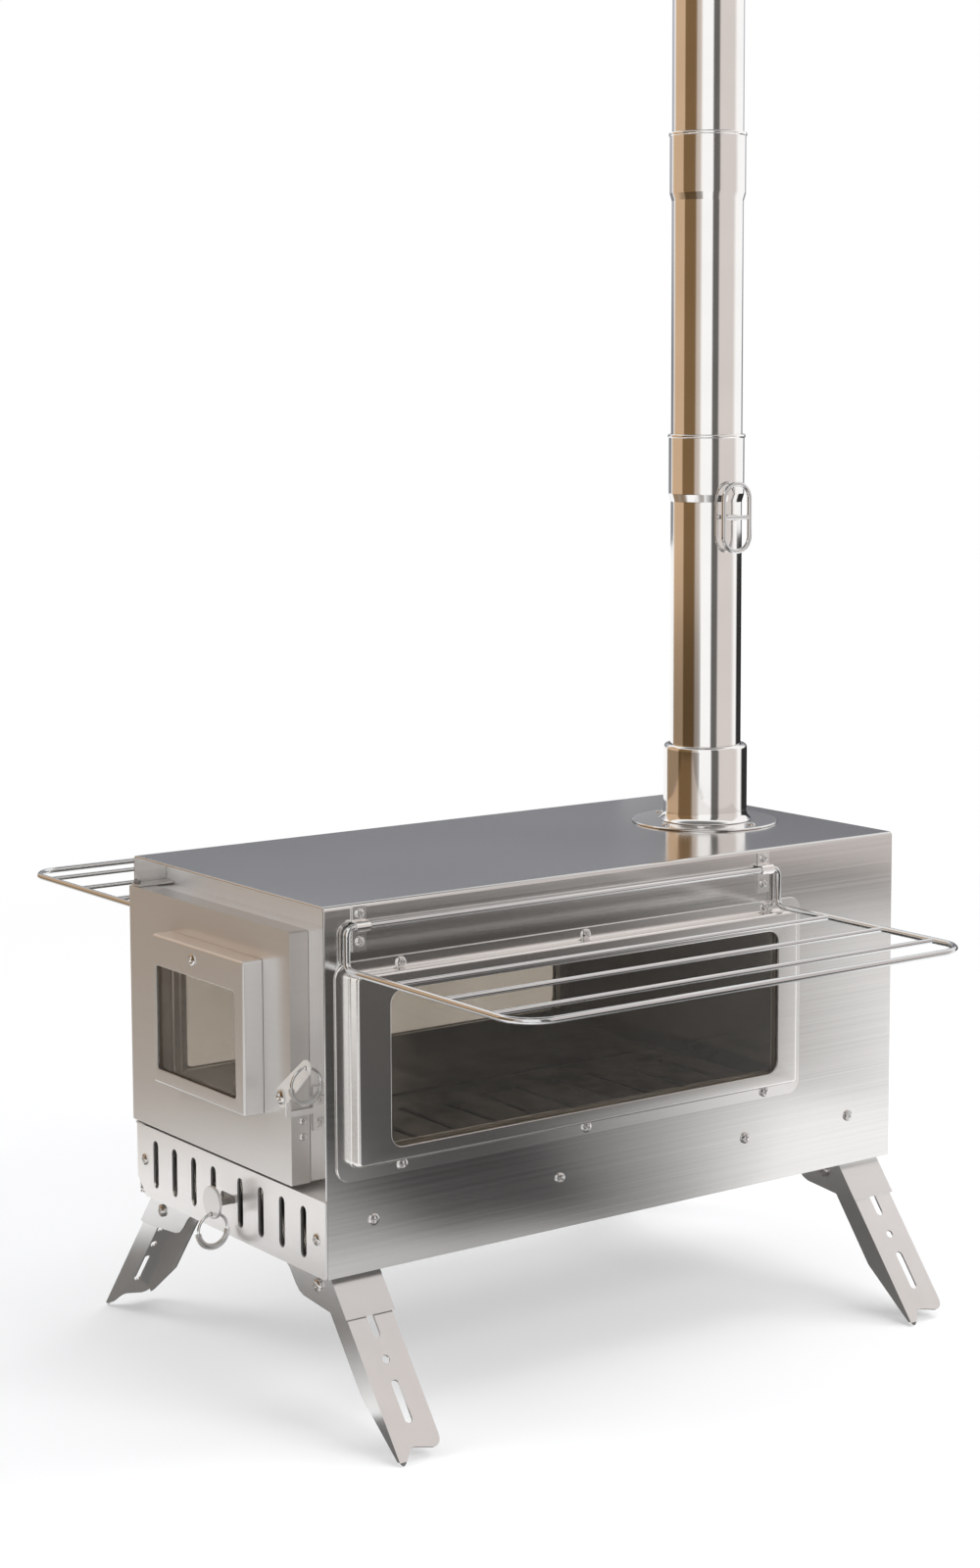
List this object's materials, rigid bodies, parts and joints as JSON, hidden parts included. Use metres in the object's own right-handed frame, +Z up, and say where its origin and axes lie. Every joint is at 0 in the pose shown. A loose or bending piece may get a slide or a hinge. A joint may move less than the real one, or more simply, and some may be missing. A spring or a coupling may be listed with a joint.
{
  "type": "tent wood stove",
  "caption": "Folding sheet-steel wood stove with a glazed door and sides, an air damper, folding legs, fold-over wire racks and a sectional chimney.",
  "frame": {"origin": "on the ground under the middle of the footprint", "axes": "+Z up, door faces -Y, the side that the picture shows faces +X"},
  "size_m": [0.7198, 0.5954, 1.2739],
  "materials": {
    "brushed_steel": "fine horizontal brushing on stainless sheet",
    "polished_steel": "polished stainless pipe and trim",
    "leg_steel": "bright satin stainless",
    "wire_steel": "polished stainless wire",
    "dark_steel": "dull heat-darkened steel",
    "glass": "clear heat-resistant pane over a dark interior",
    "seal": "pale woven rope seal"
  },
  "bodies": {
    "stove": {"air_panel": "brushed_steel", "back_plate": "brushed_steel", "bottom_plate": "brushed_steel", "casing": "brushed_steel", "fire_grate": "dark_steel", "flue_collar": "polished_steel", "flue_flange": "polished_steel", "front_frame": "brushed_steel", "grate_rail_left": "dark_steel", "grate_rail_right": "dark_steel", "hinge_lug_lower": "brushed_steel", "hinge_lug_upper": "brushed_steel", "hinge_pin_lower": "dark_steel", "hinge_pin_upper": "dark_steel", "latch_keeper": "brushed_steel", "leg_bracket_front_left": "brushed_steel", "leg_bracket_front_right": "brushed_steel", "leg_bracket_rear_left": "brushed_steel", "leg_bracket_rear_right": "brushed_steel", "leg_pin_front_left": "dark_steel", "leg_pin_front_right": "dark_steel", "leg_pin_rear_left": "dark_steel", "leg_pin_rear_right": "dark_steel", "rack_clip_front_left": "polished_steel", "rack_clip_front_right": "polished_steel", "rack_clip_rear_left": "polished_steel", "rack_clip_rear_right": "polished_steel", "side_gasket_left": "seal", "side_gasket_right": "seal", "side_glass_left": "glass", "side_glass_right": "glass", "side_window_frame_left": "brushed_steel", "side_window_frame_right": "brushed_steel"},
    "door": {"door_panel": "brushed_steel", "door_window_pan": "brushed_steel", "door_glass": "glass", "door_glass_clamp": "dark_steel", "latch_pivot_screw": "dark_steel"},
    "latch": {"latch_lever": "brushed_steel"},
    "latch_ring": {"latch_ring": "wire_steel", "latch_ring_grip": "wire_steel"},
    "air_slide": {"air_slide": "dark_steel", "damper_knob": "brushed_steel"},
    "damper_ring": {"damper_ring": "wire_steel", "damper_ring_grip": "wire_steel"},
    "rack_right": {"side_rack_right": "wire_steel"},
    "rack_left": {"side_rack_left": "wire_steel"},
    "leg_front_right": {"leg_front_right": "leg_steel"},
    "leg_front_left": {"leg_front_left": "leg_steel"},
    "leg_rear_right": {"leg_rear_right": "leg_steel"},
    "leg_rear_left": {"leg_rear_left": "leg_steel"},
    "flue_damper": {"flue_damper_blade": "dark_steel", "flue_damper_handle": "wire_steel"},
    "pipe_1": {"pipe_section_1": "polished_steel"},
    "pipe_2": {"pipe_section_2": "polished_steel"},
    "pipe_3": {"pipe_section_3": "polished_steel"},
    "chimney_top": {"spark_arrestor": "polished_steel", "rain_cap": "polished_steel"}
  },
  "joints": [
    {"name": "door_hinge", "type": "hinge", "parent": "stove", "child": "door", "pos_m": [-0.1354, -0.2627, 0.2745], "axis": [0, 0, -1], "range_deg": [0, 140]},
    {"name": "latch_turn", "type": "hinge", "parent": "door", "child": "latch", "pos_m": [0.089, -0.2682, 0.245], "axis": [0, 1, 0], "range_deg": [0, 40]},
    {"name": "latch_ring_swing", "type": "hinge", "parent": "latch", "child": "latch_ring", "pos_m": [0.12271, -0.2682, 0.27328], "axis": [0, 1, 0], "range_deg": [-32, 28]},
    {"name": "air_slide", "type": "slide", "parent": "stove", "child": "air_slide", "axis": [-1, 0, 0], "range_m": [0, 0.015]},
    {"name": "damper_ring_swing", "type": "hinge", "parent": "air_slide", "child": "damper_ring", "pos_m": [0.009, -0.28195, 0.1396], "axis": [0, 1, 0], "range_deg": [-80, 80]},
    {"name": "rack_right_fold", "type": "hinge", "parent": "stove", "child": "rack_right", "pos_m": [0.1444, -0.0393, 0.377], "axis": [0, -1, 0], "range_deg": [0, 183]},
    {"name": "rack_left_fold", "type": "hinge", "parent": "stove", "child": "rack_left", "pos_m": [-0.1444, -0.0393, 0.377], "axis": [0, 1, 0], "range_deg": [0, 178]},
    {"name": "leg_front_right_fold", "type": "hinge", "parent": "stove", "child": "leg_front_right", "pos_m": [0.116, -0.2338, 0.107], "axis": [0, 1, 0], "range_deg": [0, 115]},
    {"name": "leg_front_left_fold", "type": "hinge", "parent": "stove", "child": "leg_front_left", "pos_m": [-0.116, -0.2338, 0.107], "axis": [0, -1, 0], "range_deg": [0, 128]},
    {"name": "leg_rear_right_fold", "type": "hinge", "parent": "stove", "child": "leg_rear_right", "pos_m": [0.116, 0.2692, 0.107], "axis": [0, 1, 0], "range_deg": [0, 115]},
    {"name": "leg_rear_left_fold", "type": "hinge", "parent": "stove", "child": "leg_rear_left", "pos_m": [-0.116, 0.2692, 0.107], "axis": [0, -1, 0], "range_deg": [0, 128]},
    {"name": "flue_damper_turn", "type": "hinge", "parent": "pipe_1", "child": "flue_damper", "pos_m": [0, 0.2127, 0.653], "axis": [1, 0, 0], "range_deg": [0, 90]},
    {"name": "pipe_1_lift", "type": "slide", "parent": "stove", "child": "pipe_1", "axis": [0, 0, 1], "range_m": [0, 0.07]},
    {"name": "pipe_2_lift", "type": "slide", "parent": "pipe_1", "child": "pipe_2", "axis": [0, 0, 1], "range_m": [0, 0.055]},
    {"name": "pipe_3_lift", "type": "slide", "parent": "pipe_2", "child": "pipe_3", "axis": [0, 0, 1], "range_m": [0, 0.055]},
    {"name": "chimney_top_lift", "type": "slide", "parent": "pipe_3", "child": "chimney_top", "axis": [0, 0, 1], "range_m": [0, 0.055]}
  ]
}
